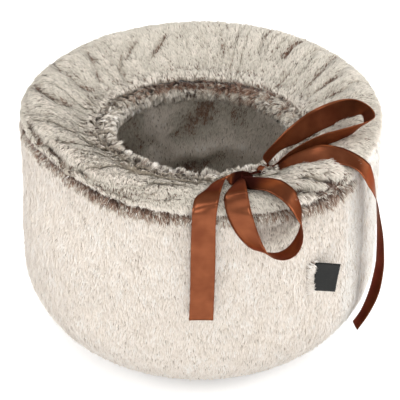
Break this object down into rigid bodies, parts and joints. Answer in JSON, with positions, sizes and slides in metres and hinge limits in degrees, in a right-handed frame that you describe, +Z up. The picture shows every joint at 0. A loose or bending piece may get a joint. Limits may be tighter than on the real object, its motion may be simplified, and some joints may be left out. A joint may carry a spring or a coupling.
{
  "type": "pet bed",
  "caption": "Round plush pet bed: a soft-sided drum with a padded, gathered collar round an open mouth, a loose cushion inside, and a satin drawstring tied in a bow with hanging tails.",
  "frame": {"origin": "middle of the flat base, on the surface that the bed stands on", "axes": "+Z up, -Y towards the front, where the ribbon hangs, +X to the right seen from the front"},
  "size_m": [0.3996, 0.4192, 0.2931],
  "materials": {
    "plush": "long pile",
    "lining": "short pile",
    "foam": "matt",
    "wadding": "matt",
    "base": "woven",
    "satin": "satin",
    "label": "woven"
  },
  "bodies": {
    "bed": {"base_cloth": "base", "base_foam": "foam", "floor_lining": "lining", "wall_foam": "foam", "outer_wall_cover": "plush", "inner_wall_lining": "lining", "collar_wadding": "wadding", "collar_cover": "plush", "collar_lining": "lining", "drawstring_casing": "plush", "ribbon_in_casing": "satin", "ribbon_knot": "satin", "left_tail_top": "satin", "right_tail_top": "satin"},
    "cushion": {"cushion_top_panel": "lining", "cushion_bottom_panel": "lining", "cushion_filling": "wadding"},
    "front_loop": {"front_loop": "satin"},
    "upper_loop": {"upper_loop": "satin"},
    "left_tail": {"left_tail_end": "satin"},
    "right_tail": {"right_tail_end": "satin"},
    "label": {"side_label": "label"}
  },
  "joints": [
    {"name": "cushion_lift", "type": "slide", "parent": "bed", "child": "cushion", "axis": [0, 0, 1], "range_m": [0, 0.1]},
    {"name": "front_loop_lift", "type": "hinge", "parent": "bed", "child": "front_loop", "pos_m": [0.06723, -0.09967, 0.23894], "axis": [-0.829, -0.5592, 0], "range_deg": [0, 50]},
    {"name": "upper_loop_lift", "type": "hinge", "parent": "bed", "child": "upper_loop", "pos_m": [0.06945, -0.09196, 0.23894], "axis": [0.5592, -0.829, 0], "range_deg": [0, 50]},
    {"name": "left_tail_swing", "type": "hinge", "parent": "bed", "child": "left_tail", "pos_m": [0.00357, -0.20447, 0.2545], "axis": [-0.9998, -0.0175, 0], "range_deg": [0, 70]},
    {"name": "right_tail_swing", "type": "hinge", "parent": "bed", "child": "right_tail", "pos_m": [0.17053, -0.11287, 0.246], "axis": [-0.5519, -0.8339, 0], "range_deg": [0, 60]},
    {"name": "label_flap", "type": "hinge", "parent": "bed", "child": "label", "pos_m": [0.11683, -0.1608, 0.1475], "axis": [0, 0, -1], "range_deg": [0, 60]}
  ]
}
